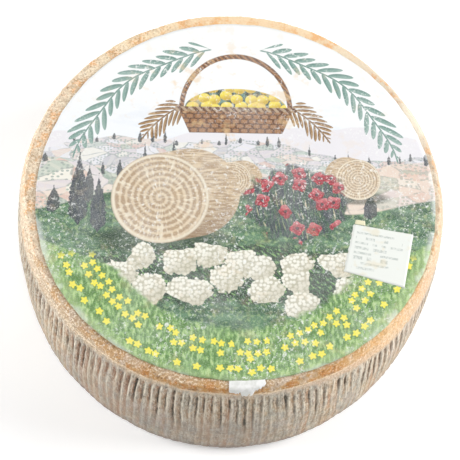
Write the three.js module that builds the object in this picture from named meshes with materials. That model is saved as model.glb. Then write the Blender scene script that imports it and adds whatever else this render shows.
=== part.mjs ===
// A whole wheel of aged pecorino, with the ribs of its basket mould round the wall,
// a large round paper label on top, a small paper sticker on the label, and a torn
// scrap of paper that comes out from under the label at the front.
// Millimetres, +Z up, +Y towards the top of the label, -Y towards the front.
// The origin is under the middle of the wheel, on the face that it rests on.
import * as THREE from 'three';

// Wheel: a low drum with a bulging wall, a little wider at the foot than at the crown.
const wheelHeight = 81;
const bellyRadius = 125;
const wallBulge = 3; // how far the wall draws in from mid height to either end
const wallLean = 4.3; // how much further out the wall stands at the foot than at the crown
const shoulderInset = 1.6;
const shoulderDrop = 11.5;
const footInset = 6;
const footRise = 4;
const kneeDrop = 1.2; // depth of the edge line between the flat top and the shoulder
const footKnee = 1; // height of the edge line in the foot's rounding

// A lobe stands out by its size in mm, a number of times round; one of them faces a direction.
const crownLobes = [
  { times: 1, size: 1.95, facing: 62 },
  { times: 2, size: 0.5, facing: -13 },
  { times: 3, size: 0.55, facing: 9 },
  { times: 4, size: 0.65, facing: -14 },
];
const footLobes = [
  { times: 2, size: 0.35, facing: -93 },
  { times: 3, size: 1.6, facing: 26 },
  { times: 4, size: 0.25, facing: 39 },
];

// Ribs: flat-topped strips with a narrow groove between each two.
const ribCount = 168;
const grooveDepth = 1.5;
const grooveDepthSpread = 0.5; // share by which one groove differs from the next
const ribWidthSpread = 0.14;
const ribCrestFrom = 0.34; // the flat crest, as shares of the rib's width
const ribCrestTo = 0.72;
const ribSink = 0.3; // how far a low rib lies under the wall's outline
const ribStartDrop = 9; // how far below the top the grooves begin, on average
const ribStartSpread = 1.6;
const ribStartLeast = 2.2;
const ribRunIn = 6; // a groove reaches its full depth this far below its start
// Low on the wall the grooves fade: shares of the wheel's height and of the full depth.
const grooveFullDownTo = 0.52;
const grooveLow = { height: 0.27, depth: 0.55 };
const grooveAtFoot = 0.3;
const ribStartLobes = [
  { times: 1, size: 2.9, facing: 3 },
  { times: 2, size: 5.3, facing: -12 },
];

// Label, sticker and scrap of paper.
const paper = 0.3;
const paperGap = 0.35; // left between the scrap and what it lies on
const labelRadius = 114.2;
const labelCentre = [2.8, 0];
const labelSides = 120;
const labelLobes = [
  { times: 2, size: 0.9, facing: -10 },
  { times: 3, size: 0.8, facing: -26 },
  { times: 4, size: 0.3, facing: 39 },
];
const stickerPaper = 0.2;
const stickerCorner = [70.3, -16.9]; // its upper left corner
const stickerTurn = -10;
const stickerOutline = [
  [0, 0], [0.6, 3], [6, 3.2], [6.6, 0.4], // a small tab stands up at this corner
  [34.4, 0], [33.8, -33.6], [-1.2, -30],
];
// The scrap's torn lower edge: degrees round from the front, mm out from the label's edge.
const scrapEdge = [
  [-0.6, 7.2], [1.2, 7.9], [2, 8.4], [2.3, 6.2], [2.7, 9.9],
  [4.2, 10.4], [5.6, 10.2], [6.3, 6.4], [8.3, 4.2], [9.5, 2.2],
];
const scrapRows = 9;
const scrapFlatRows = 3; // after this many rows the scrap goes over the edge of the top
const shortColumnShare = 0.7; // of a column that ends on the flat, in those first rows
const shoulderLift = 0.4; // share of the scrap's lift that points up where it hangs down
const frontFacing = -90;

// Draws numbers from 0 to 1, the same ones in every run.
function makeDraw(seed) {
  let state = seed;
  return () => {
    state = (state * 1664525 + 1013904223) % 4294967296;
    return state / 4294967296;
  };
}

const radians = THREE.MathUtils.degToRad;

function lobesAt(lobes, angle) {
  return lobes.reduce(
    (sum, lobe) => sum + lobe.size * Math.cos(lobe.times * (angle - radians(lobe.facing))),
    0,
  );
}

// How far an edge of a rounding is set in: 0 where the rounding begins, inset at its end.
function roundedInset(inset, share) {
  const reach = THREE.MathUtils.clamp(share, 0, 1);
  return inset * (1 - Math.sqrt(1 - reach * reach));
}

// The wheel's outline without its grooves, from the wheel's axis.
function wheelRadius(angle, z) {
  const fromMiddle = (2 * z) / wheelHeight - 1;
  const wall = bellyRadius - wallBulge * fromMiddle ** 2 - (wallLean / 2) * fromMiddle;
  const shoulder = roundedInset(shoulderInset, (z - wheelHeight + shoulderDrop) / shoulderDrop);
  const foot = roundedInset(footInset, (footRise - z) / footRise);
  const up = z / wheelHeight;
  const lobes = up * lobesAt(crownLobes, angle) + (1 - up) * lobesAt(footLobes, angle);
  return wall - shoulder - foot + lobes;
}

// Every column of points runs up the wall; three of them make one rib.
function ribColumns() {
  const draw = makeDraw(20);
  const spread = (share) => 1 + share * (2 * draw() - 1);
  const widths = Array.from({ length: ribCount }, () => spread(ribWidthSpread));
  const total = widths.reduce((sum, width) => sum + width, 0);
  const columns = [];
  let start = 0;
  for (const width of widths) {
    const turn = (2 * Math.PI * width) / total;
    const sink = ribSink * draw();
    const depth = grooveDepth * spread(grooveDepthSpread);
    const later = ribStartSpread * (2 * draw() - 1);
    columns.push({ angle: start, depth: depth + sink, later });
    columns.push({ angle: start + turn * ribCrestFrom, depth: sink, later: 0 });
    columns.push({ angle: start + turn * ribCrestTo, depth: sink, later: 0 });
    start += turn;
  }
  return columns;
}

// The heights at which a column has a point, and the share of its groove's depth there.
function columnPoints({ angle, depth, later }) {
  const drop = Math.max(ribStartLeast, ribStartDrop + lobesAt(ribStartLobes, angle) + later);
  const ribTop = wheelHeight - drop;
  const stations = [
    [0, 0],
    [footKnee, 0],
    [footRise, grooveAtFoot],
    [grooveLow.height * wheelHeight, grooveLow.depth],
    [grooveFullDownTo * wheelHeight, 1],
    [ribTop - ribRunIn, 1],
    [ribTop, 0],
    [wheelHeight - kneeDrop, 0],
    [wheelHeight, 0],
  ];
  return stations.map(([z, share]) => {
    const radius = wheelRadius(angle, z) - share * depth;
    return new THREE.Vector3(radius * Math.cos(angle), radius * Math.sin(angle), z);
  });
}

function geometryFrom(points, faces) {
  const geometry = new THREE.BufferGeometry();
  geometry.setAttribute(
    'position',
    new THREE.Float32BufferAttribute(points.flatMap((point) => point.toArray()), 3),
  );
  geometry.setIndex(faces.flat());
  geometry.computeVertexNormals();
  return geometry;
}

function wheelGeometry() {
  const columns = ribColumns().map(columnPoints);
  const rows = columns[0].length;
  const points = columns.flat();
  const low = points.push(new THREE.Vector3(0, 0, 0)) - 1;
  const high = points.push(new THREE.Vector3(0, 0, wheelHeight)) - 1;
  const faces = [];
  columns.forEach((column, index) => {
    const here = index * rows;
    const next = ((index + 1) % columns.length) * rows;
    for (let row = 0; row < rows - 1; row += 1) {
      faces.push([here + row, next + row, next + row + 1]);
      faces.push([here + row, next + row + 1, here + row + 1]);
    }
    faces.push([low, next, here]);
    faces.push([high, here + rows - 1, next + rows - 1]);
  });
  return geometryFrom(points, faces);
}

function labelEdge(angle) {
  return labelRadius + lobesAt(labelLobes, angle);
}

function labelGeometry() {
  const outline = Array.from({ length: labelSides }, (_, side) => {
    const angle = (2 * Math.PI * side) / labelSides;
    const radius = labelEdge(angle);
    return new THREE.Vector2(
      labelCentre[0] + radius * Math.cos(angle),
      labelCentre[1] + radius * Math.sin(angle),
    );
  });
  const sheet = { depth: paper, bevelEnabled: false };
  return new THREE.ExtrudeGeometry(new THREE.Shape(outline), sheet);
}

function stickerGeometry() {
  const outline = stickerOutline.map(([x, y]) => new THREE.Vector2(x, y));
  const sheet = { depth: stickerPaper, bevelEnabled: false };
  return new THREE.ExtrudeGeometry(new THREE.Shape(outline), sheet);
}

// A point of the scrap: out from the label's edge over the flat top, then down the shoulder.
function scrapPoint(angle, reach, row, lift) {
  const toLabel = labelCentre[0] * Math.cos(angle) + labelCentre[1] * Math.sin(angle);
  const from = labelEdge(angle) + toLabel + paperGap;
  const brink = wheelRadius(angle, wheelHeight);
  const flat = Math.min(reach, brink - from);
  const onFlat = Math.min(row, scrapFlatRows) / scrapFlatRows;
  const onShoulder = Math.max(0, row - scrapFlatRows) / (scrapRows - 1 - scrapFlatRows);
  const flatShare = reach > flat ? 1 : shortColumnShare;
  const down = (reach - flat) * onShoulder;
  const over = flat * (flatShare * onFlat + (1 - flatShare) * onShoulder);
  const z = wheelHeight - down;
  const radius = down > 0 ? wheelRadius(angle, z) : from + over;
  const slope = Math.min(1, down / kneeDrop); // 0 on the flat top, 1 down the shoulder
  const out = radius + lift * slope;
  const up = z + lift * (1 - (1 - shoulderLift) * slope);
  return new THREE.Vector3(out * Math.cos(angle), out * Math.sin(angle), up);
}

function scrapGeometry() {
  const columns = scrapEdge.length;
  const points = [];
  for (const lift of [paperGap, paperGap + paper]) {
    for (const [degrees, reach] of scrapEdge) {
      const angle = radians(frontFacing + degrees);
      for (let row = 0; row < scrapRows; row += 1) {
        points.push(scrapPoint(angle, reach, row, lift));
      }
    }
  }
  const at = (side, column, row) => (side * columns + column) * scrapRows + row;
  const faces = [];
  const addQuad = (a, b, c, d) => faces.push([a, b, c], [a, c, d]);
  for (let column = 0; column < columns - 1; column += 1) {
    for (let row = 0; row < scrapRows - 1; row += 1) {
      const [c, r] = [column + 1, row + 1];
      addQuad(at(1, column, row), at(1, column, r), at(1, c, r), at(1, c, row));
      addQuad(at(0, column, row), at(0, c, row), at(0, c, r), at(0, column, r));
    }
    const last = scrapRows - 1;
    addQuad(at(0, column, 0), at(1, column, 0), at(1, column + 1, 0), at(0, column + 1, 0));
    addQuad(at(0, column, last), at(0, column + 1, last), at(1, column + 1, last), at(1, column, last));
  }
  for (let row = 0; row < scrapRows - 1; row += 1) {
    const end = columns - 1;
    addQuad(at(0, 0, row), at(0, 0, row + 1), at(1, 0, row + 1), at(1, 0, row));
    addQuad(at(0, end, row), at(1, end, row), at(1, end, row + 1), at(0, end, row + 1));
  }
  return geometryFrom(points, faces);
}

function addPiece(group, name, geometry, look) {
  const mesh = new THREE.Mesh(geometry, new THREE.MeshStandardMaterial({ metalness: 0, ...look }));
  mesh.name = name;
  group.add(mesh);
  return mesh;
}

const pieces = new THREE.Group();
addPiece(pieces, 'wheel', wheelGeometry(), { color: 0xb9a78a, roughness: 0.8 });

const label = addPiece(pieces, 'label', labelGeometry(), { color: 0xe6ece4, roughness: 0.45 });
label.position.z = wheelHeight;

const sticker = addPiece(pieces, 'sticker', stickerGeometry(), { color: 0xf8faf8, roughness: 0.5 });
sticker.position.set(stickerCorner[0], stickerCorner[1], wheelHeight + paper);
sticker.rotation.z = radians(stickerTurn);

addPiece(pieces, 'paper_scrap', scrapGeometry(), { color: 0xd9dbd3, roughness: 0.6 });

// The wheel is a little out of round, so the middle of its outline is moved to the origin.
const middle = new THREE.Box3().setFromObject(pieces).getCenter(new THREE.Vector3());
pieces.position.set(-middle.x, -middle.y, 0);

const group = new THREE.Group();
group.add(pieces);

export default group;
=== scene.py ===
import math

import bpy
import numpy as np
from mathutils import Matrix, Vector


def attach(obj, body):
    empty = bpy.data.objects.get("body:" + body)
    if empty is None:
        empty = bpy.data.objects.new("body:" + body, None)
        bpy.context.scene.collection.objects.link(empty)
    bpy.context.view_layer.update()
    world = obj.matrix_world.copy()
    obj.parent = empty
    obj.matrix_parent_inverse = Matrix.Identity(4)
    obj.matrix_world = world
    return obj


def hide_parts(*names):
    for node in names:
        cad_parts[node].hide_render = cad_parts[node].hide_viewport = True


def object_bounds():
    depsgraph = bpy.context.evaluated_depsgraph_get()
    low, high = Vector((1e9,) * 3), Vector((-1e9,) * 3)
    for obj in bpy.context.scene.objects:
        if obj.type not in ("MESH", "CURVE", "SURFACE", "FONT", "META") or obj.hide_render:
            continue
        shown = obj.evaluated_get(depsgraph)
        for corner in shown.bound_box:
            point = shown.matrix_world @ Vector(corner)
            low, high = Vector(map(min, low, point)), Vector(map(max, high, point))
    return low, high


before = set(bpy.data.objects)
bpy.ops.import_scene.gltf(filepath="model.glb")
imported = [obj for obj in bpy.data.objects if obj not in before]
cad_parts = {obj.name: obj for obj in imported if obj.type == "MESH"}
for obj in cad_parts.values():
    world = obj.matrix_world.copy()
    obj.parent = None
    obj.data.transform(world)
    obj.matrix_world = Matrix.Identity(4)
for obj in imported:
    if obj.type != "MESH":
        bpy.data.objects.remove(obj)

# A whole wheel of aged pecorino with a paper label on top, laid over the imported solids.
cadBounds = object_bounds()
insideBox = 0.9995  # the wheel keeps within this share of the solids' box
mm = 0.001
print("frame loaded:", ", ".join(sorted(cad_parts)))

# The sizes that the solids were made from, in millimetres and degrees. A lobe says how many
# times it goes round, how far it stands out and where one of its crests faces.
wheel = {
    "height": 81, "belly": 125, "bulge": 3, "lean": 4.3,
    "shoulderInset": 1.6, "shoulderDrop": 11.5, "corner": 1.6, "footInset": 6, "footRise": 4,
    "crownLobes": ((1, 1.95, 62), (2, 0.5, -13), (3, 0.55, 9), (4, 0.65, -14)),
    "footLobes": ((2, 0.35, -93), (3, 1.6, 26), (4, 0.25, 39)),
    "axis": (-0.624, 0.667),  # the wheel's axis, seen from the middle of its outline
    "ribStart": 12.6, "ribStartLobes": ((1, 2.16, 66), (2, 3.1, -21), (3, 2.94, -34)),
}
label = {
    "thickness": 0.2, "radius": 114.2, "centre": (2.8, 0),
    "lobes": ((2, 0.9, -10), (3, 0.8, -26), (4, 0.3, 39)),
    "waves": ((0.075, 47, 20, 0.3), (0.05, 31, 115, 1.9), (0.035, 19, 65, 4.0), (0.02, 11, 150, 2.2)),
    "waviness": 0.6, "edgeLift": 0.12, "liftFrom": 0.93, "rings": 56, "columns": 360,
    "frays": ((0.12, 31, 1), (0.1, 57, 0)),  # the cut isn't quite even
    "sunk": 0.15,  # how far the cheese lies below its height under the label
}
labelMiddle = (label["centre"][0] + wheel["axis"][0], label["centre"][1] + wheel["axis"][1])
topHeight = wheel["height"]  # of the flat top that the label lies on


def lobesAt(lobes, angle):
    return sum(size * np.cos(times * (angle - math.radians(facing))) for times, size, facing in lobes)


def roundedInset(inset, share):
    return inset * (1 - np.sqrt(1 - np.clip(share, 0, 1) ** 2))


def wheelRadius(angle, z):  # the wall of the wheel without its ribs
    fromMiddle = 2 * z / topHeight - 1
    wall = wheel["belly"] - wheel["bulge"] * fromMiddle ** 2 - wheel["lean"] / 2 * fromMiddle
    into = (z - topHeight + wheel["shoulderDrop"]) / wheel["shoulderDrop"]
    foot = roundedInset(wheel["footInset"], (wheel["footRise"] - z) / wheel["footRise"])
    up = z / topHeight
    lobes = up * lobesAt(wheel["crownLobes"], angle) + (1 - up) * lobesAt(wheel["footLobes"], angle)
    return wall - roundedInset(wheel["shoulderInset"], into) - foot + lobes


def wheelBrink(angle):  # where the flat top begins to round over
    return wheelRadius(angle, topHeight - wheel["corner"]) - wheel["corner"]


def brinkDrop(x, y):  # how far the rounded brink has sunk under a place near the label's edge
    angle = np.arctan2(y - wheel["axis"][1], x - wheel["axis"][0])
    over = np.hypot(x - wheel["axis"][0], y - wheel["axis"][1]) - wheelBrink(angle)
    over = np.clip(over, 0, 0.9 * wheel["corner"])
    return wheel["corner"] - np.sqrt(wheel["corner"] ** 2 - over ** 2)


def labelEdge(angle):
    return label["radius"] + lobesAt(label["lobes"], angle)


def paperWave(x, y):  # how far the label stands off the cheese
    height = sum(wave[0] for wave in label["waves"]) + 0 * x
    for size, length, facing, shift in label["waves"]:
        turn = math.radians(facing)
        along = x * math.cos(turn) + y * math.sin(turn)
        height = height + size * np.sin(2 * np.pi * along / length + shift)
    angle = np.arctan2(y - labelMiddle[1], x - labelMiddle[0])
    share = np.hypot(x - labelMiddle[0], y - labelMiddle[1]) / labelEdge(angle)
    lift = label["edgeLift"] * (0.5 + 0.5 * np.sin(9 * angle + 2 * np.sin(2 * angle)))
    liftFrom = label["liftFrom"]
    lift = lift * np.clip((share - liftFrom) / (1 - liftFrom), 0, 1) ** 2
    return label["waviness"] * height + lift - brinkDrop(x, y)


# Nodes are written as expressions: a sum or a product of wires adds its Math nodes.
class Wire:
    def __init__(self, socket):
        self.socket = socket

    @staticmethod
    def node(tree, kind, settings=None, values=None, out=0):
        made = tree.nodes.new(kind)
        for name, value in (settings or {}).items():
            if name == "stops":
                setStops(made.color_ramp, value)
            elif name == "interpolation":
                made.color_ramp.interpolation = value
            else:
                setattr(made, name, value)
        for key, value in (values or {}).items():
            plug(made.inputs[key], value)
        if out is None:
            return made
        return Wire(made.outputs[out])


def bindOperator(name, operation):
    setattr(Wire, f"__{name}__", lambda self, other: mathOn(operation, self, other))
    setattr(Wire, f"__r{name}__", lambda self, other: mathOn(operation, other, self))


for name, operation in (("add", "ADD"), ("sub", "SUBTRACT"), ("mul", "MULTIPLY"), ("truediv", "DIVIDE")):
    bindOperator(name, operation)
for name, operation in (("gt", "GREATER_THAN"), ("lt", "LESS_THAN")):
    bindOperator(name, operation)
Wire.__abs__ = lambda self: mathOn("ABSOLUTE", self)


def treeOf(*values):
    return next(value.socket.id_data for value in values if isinstance(value, Wire))


def plug(socket, value):
    if isinstance(value, Wire):
        socket.id_data.links.new(value.socket, socket)
    elif isinstance(value, tuple) and len(value) == 3 and len(socket.default_value) == 4:
        socket.default_value = (*value, 1)
    else:
        socket.default_value = value


def setStops(ramp, stops):
    while len(ramp.elements) < len(stops):
        ramp.elements.new(0.5)
    for element, (place, colour) in zip(ramp.elements, stops):
        element.position = place
        element.color = (*colour, 1)


def mathOn(operation, *values):
    return Wire.node(treeOf(*values), "ShaderNodeMath", {"operation": operation}, dict(enumerate(values)))


def mathNode(operation):
    return lambda *values: mathOn(operation, *values)


sine, cosine, root, whole = map(mathNode, ("SINE", "COSINE", "SQRT", "FLOOR"))
lesser, greater, arctan, modulo = map(mathNode, ("MINIMUM", "MAXIMUM", "ARCTAN2", "FLOORED_MODULO"))


def lengthOf(x, y):
    return root(x * x + y * y)


def smooth(value, start, end, low=0.0, high=1.0):  # a soft step from low to high
    values = {"Value": value, "From Min": start, "From Max": end, "To Min": low, "To Max": high}
    tree = treeOf(value, start, end)
    return Wire.node(tree, "ShaderNodeMapRange", {"interpolation_type": "SMOOTHSTEP"}, values)


def around(angle, middle, far, near):  # a soft window round a direction, in radians
    return smooth(abs(angle - middle), far, near)


def vector(x, y, z=0.0):
    return Wire.node(treeOf(x, y, z), "ShaderNodeCombineXYZ", None, {"X": x, "Y": y, "Z": z})


def parts(value):
    node = Wire.node(treeOf(value), "ShaderNodeSeparateXYZ", None, {0: value}, out=None)
    return [Wire(output) for output in node.outputs]


def vectorOn(operation, *values, scale=None):
    sockets = dict(enumerate(values))
    if scale is not None:
        sockets["Scale"] = scale
    return Wire.node(treeOf(*values), "ShaderNodeVectorMath", {"operation": operation}, sockets)


def noise(place, size, detail=2.0, roughness=0.5, shift=0.0):
    # soft noise about 0.5, with lumps about as large as size
    if shift:
        place = vectorOn("ADD", place, (shift, -shift, 0.7 * shift))
    values = {"Vector": place, "Scale": 1 / size, "Detail": float(detail), "Roughness": roughness}
    return Wire.node(treeOf(place), "ShaderNodeTexNoise", None, values)


def cells(place, size, feature="F1", jitter=1.0, flat=True):
    # Voronoi cells about as large as size: the wires of all the outputs, by name
    values = {"Vector": place, "Scale": 1 / size, "Randomness": jitter}
    settings = {"voronoi_dimensions": "2D" if flat else "3D", "feature": feature}
    node = Wire.node(treeOf(place), "ShaderNodeTexVoronoi", settings, values, out=None)
    return {output.name: Wire(output) for output in node.outputs if output.enabled}


def drawn(key, number):  # a random value from 0 to 1 for each whole key
    settings = {"noise_dimensions": "2D"}
    values = {"Vector": vector(key, float(number))}
    return Wire.node(treeOf(key), "ShaderNodeTexWhiteNoise", settings, values)


def mixed(share, first, second):
    values = {0: share, 6: first, 7: second}
    tree = treeOf(share, first, second)
    return Wire.node(tree, "ShaderNodeMix", {"data_type": "RGBA"}, values, out=2)


def painted(colour, inks, *coats):
    # coats of ink, one after the other: a wire, the start and end of its soft step, how much of
    # the coat shows and the name of its ink
    for value, start, end, amount, name in coats:
        share = smooth(value, start, end)
        colour = mixed(share if amount == 1 else share * amount, colour, inks[name])
    return colour


def bands(value, stops):  # one of the stops' colours, with hard borders
    settings = {"stops": stops, "interpolation": "CONSTANT"}
    return Wire.node(treeOf(value), "ShaderNodeValToRGB", settings, {0: value})


def ink(red, green, blue, strength=1.0):  # a colour as a screen shows it, each part from 0 to 255
    def linear(part):
        part = part / 255
        return part / 12.92 if part <= 0.04045 else ((part + 0.055) / 1.055) ** 2.4
    return tuple(strength * linear(part) for part in (red, green, blue))


def newMaterial(name, settings):
    material = bpy.data.materials.new(name)
    material.use_nodes = True
    tree = material.node_tree
    tree.nodes.clear()
    shader = Wire.node(tree, "ShaderNodeBsdfPrincipled", None, settings, out=None)
    Wire.node(tree, "ShaderNodeOutputMaterial", None, {"Surface": Wire(shader.outputs[0])}, out=None)
    return material, tree, shader


def objectPlace(tree):  # the place on the piece, in millimetres
    place = Wire(Wire.node(tree, "ShaderNodeTexCoord", out=None).outputs["Object"])
    return vectorOn("SCALE", place, scale=1 / mm)


def bump(height, distance, strength):
    values = {"Height": height, "Distance": distance * mm, "Strength": strength}
    return Wire.node(treeOf(height), "ShaderNodeBump", None, values)


def meshObject(name, points, faces):
    data = bpy.data.meshes.new(name)
    data.from_pydata([tuple(point) for point in points], [], faces)
    data.validate()
    data.shade_smooth()
    made = bpy.data.objects.new(name, data)
    bpy.context.scene.collection.objects.link(made)
    return made


def ringFaces(rows, count):
    faces = []
    for row in range(rows - 1):
        here, above = row * count, (row + 1) * count
        for column in range(count):
            after = (column + 1) % count
            faces.append((here + column, here + after, above + after, above + column))
    return faces


def ringMesh(name, rings, low, high):
    # rings of points from the bottom up, closed by one point below and one above
    count = len(rings[0])
    points = [point for ring in rings for point in ring] + [low, high]
    faces = ringFaces(len(rings), count)
    last = (len(rings) - 1) * count
    for column in range(count):
        after = (column + 1) % count
        faces.append((after, column, len(points) - 2))
        faces.append((last + column, last + after, len(points) - 1))
    return meshObject(name, points, faces)


def sheetMesh(name, top, thickness):
    # a grid of points, rows by columns, made a closed sheet that goes down by the thickness
    rows, columns = top.shape[:2]
    under = top - np.array([0, 0, thickness * mm])
    points = list(top.reshape(-1, 3)) + list(under.reshape(-1, 3))
    below = rows * columns
    faces = []
    for row in range(rows - 1):
        for column in range(columns - 1):
            a = row * columns + column
            b, c, d = a + 1, a + columns + 1, a + columns
            faces.append((a, b, c, d))
            faces.append((below + d, below + c, below + b, below + a))
    edge = list(range(columns - 1))
    edge += [row * columns + columns - 1 for row in range(rows - 1)]
    edge += [(rows - 1) * columns + column for column in range(columns - 1, 0, -1)]
    edge += [row * columns for row in range(rows - 1, 0, -1)]
    for here, after in zip(edge, edge[1:] + edge[:1]):
        faces.append((after, here, below + here, below + after))
    return meshObject(name, points, faces)


def geometryTree(name, sizes):
    # a new tree with one named input for each size, with the wires and identifiers of those
    tree = bpy.data.node_groups.new(name, "GeometryNodeTree")
    tree.interface.new_socket(name="Geometry", in_out="INPUT", socket_type="NodeSocketGeometry")
    keys = {}
    for title, value in sizes.items():
        kind = "NodeSocketInt" if isinstance(value, int) else "NodeSocketFloat"
        socket = tree.interface.new_socket(name=title, in_out="INPUT", socket_type=kind)
        socket.default_value = value
        keys[title] = socket.identifier
    tree.interface.new_socket(name="Geometry", in_out="OUTPUT", socket_type="NodeSocketGeometry")
    start = Wire.node(tree, "NodeGroupInput", out=None)
    ports = {output.name: Wire(output) for output in start.outputs if output.name}
    return tree, ports, keys


def closeTree(tree, geometry, material):
    geometry = Wire.node(tree, "GeometryNodeRealizeInstances", None, {"Geometry": geometry})
    geometry = Wire.node(tree, "GeometryNodeSetShadeSmooth", None, {"Geometry": geometry})
    values = {"Geometry": geometry, "Material": material}
    geometry = Wire.node(tree, "GeometryNodeSetMaterial", None, values)
    Wire.node(tree, "NodeGroupOutput", None, {"Geometry": geometry}, out=None)


def grown(source, name, tree, keys, sizes):
    # runs a tree on an object and gives the result as a plain mesh object
    modifier = source.modifiers.new("shape", "NODES")
    modifier.node_group = tree
    for title, value in sizes.items():
        modifier[keys[title]] = value
    bpy.context.view_layer.update()
    evaluated = source.evaluated_get(bpy.context.evaluated_depsgraph_get())
    data = bpy.data.meshes.new_from_object(evaluated)
    source.modifiers.remove(modifier)
    made = bpy.data.objects.new(name, data)
    bpy.context.scene.collection.objects.link(made)
    return made


def addPiece(piece, node, material=None):
    if material:
        piece.data.materials.append(material)
    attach(piece, "root")
    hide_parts(node)
    print(piece.name, "made:", len(piece.data.polygons), "faces")


# The ribs that the basket mould leaves: the same rule drives the relief and the colours.
ribs = {
    "count": 168, "wander": 1.3, "wiggle": 0.19, "crestAt": 0.26, "secondCrestAt": 0.62,
    "grooveDepth": 1.25, "grooveHalf": 0.56, "slopeDepth": 0.45, "runIn": 5,
    # the height that most grooves reach down to, and how much of their depth is left below it
    "fadeAt": 51, "fadeSpread": 24, "longerAside": 14, "depthBelow": 0.14, "seed": 7,
}


def ribPattern(place, count, seed):
    x, y, z = parts(place)
    outX = x - wheel["axis"][0]
    outY = y - wheel["axis"][1]
    angle = arctan(outY, outX)
    pitch = 2 * math.pi * wheel["belly"] / ribs["count"]
    wander = noise(vector(x, y, z * 0.4), 24, 1, shift=3 * seed) - 0.5
    wiggle = noise(vector(x, y, z * 1.1), 7, 1, shift=5 * seed) - 0.5
    turns = angle / (2 * math.pi) * count + wander * ribs["wander"] + wiggle * ribs["wiggle"]
    nearest = mathOn("ROUND", turns)
    groove = modulo(nearest, count)
    rib = modulo(whole(turns), count)
    phase = turns - whole(turns)
    across = abs(turns - nearest) * pitch  # from the middle of the nearest groove
    start = topHeight - wheel["ribStart"]
    for times, size, facing in wheel["ribStartLobes"]:
        start = start - cosine((angle - math.radians(facing)) * times) * size
    start = lesser(start + (noise(place, 8, 2, shift=seed) - 0.5) * 3, topHeight - 2.4)
    begin = start - drawn(groove, 1) * 3
    fade = ribs["fadeAt"] + (drawn(groove, 2) - 0.5) * ribs["fadeSpread"]
    fade = fade - around(angle, -1.7, 0.6, 1.1) * ribs["longerAside"]
    along = noise(vector(groove * 3.7, z * 0.2), 1, 3, shift=2 * seed)
    half = ribs["grooveHalf"] * (0.6 + 0.9 * drawn(groove, 3)) * (0.2 + 1.6 * along)
    # one where the groove is, and how much of it is left further down
    on = smooth(z, begin, begin - ribs["runIn"]) * smooth(z, 0.5, 4)
    comes = smooth(noise(vector(groove * 5.3, z * 0.085), 1, 2, shift=4 * seed), 0.34, 0.48, 0.3, 1)
    weak = smooth(noise(vector(x, y, z * 0.25), 15, 2, shift=6 * seed), 0.38, 0.52, 0.45, 1)
    line = smooth(across, half + 0.45, half * 0.3) * on * comes * weak
    high = smooth(z, fade - 9, fade + 6)
    crestLine = abs(phase - ribs["crestAt"] - (drawn(rib, 4) - 0.5) * 0.16) * pitch
    second = abs(phase - ribs["secondCrestAt"] - (drawn(rib, 8) - 0.5) * 0.2) * pitch
    crest = greater(smooth(crestLine, 0.55, 0.12), smooth(second, 0.4, 0.1) * drawn(rib, 9) * 0.8)
    crest = crest * smooth(z, start + 1.5, start - 3) * smooth(z, 1, 4) * smooth(z, 14, 52, 0.18, 1)
    crest = crest * smooth(noise(vector(x, y, z * 0.25), 2.2, 2, shift=9), 0.42, 0.57)
    slope = smooth(phase, 0.3, 0.86) * smooth(z, start, start - 5)
    wide = smooth(crestLine, 1.25, 0.3) * smooth(z, start + 1, start - 3) * smooth(z, 10, 50, 0.25, 1)
    return {
        "x": x, "y": y, "z": z, "angle": angle, "start": start, "on": on, "line": line, "high": high,
        "crest": crest, "wide": wide, "slope": slope, "deep": 0.55 + drawn(groove, 5) * 0.7,
        "dark": smooth(drawn(groove, 6), 0.05, 0.4), "tone": drawn(rib, 7),
    }


# Colours as a screen shows them.
rindLook = {
    "roughness": 0.6, "roughnessSpread": 0.25,
    # the ribbed wall; crest also paints highlights along the crests
    "crest": (222, 212, 193), "beige": (188, 171, 147), "grey": (170, 163, 148), "lilac": (186, 171, 162),
    "olive": (156, 152, 131), "cool": (150, 151, 144), "tan": (192, 160, 124), "brown": (160, 126, 92),
    # dark and umber also paint the shade in the grooves
    "dark": (102, 92, 76), "umber": (124, 94, 66), "mould": (68, 66, 56), "rust": (172, 116, 74),
    # foot paints shade: low at the front, over the left front and at the bottom
    "foot": (128, 117, 112),
    # the crust round the label and over the shoulder
    "crust": (244, 222, 186), "peach": (236, 196, 146), "apricot": (236, 180, 122), "cream": (250, 238, 216),
    "milky": (224, 210, 190), "rosy": (222, 206, 188), "gold": (228, 184, 124), "blush": (192, 161, 133),
    "dry": (190, 164, 132), "lilacCrust": (208, 187, 166), "amber": (194, 146, 82), "orange": (186, 122, 54),
    "ruddy": (186, 132, 94), "speck": (114, 80, 48), "drab": (180, 164, 142),
}


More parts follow.
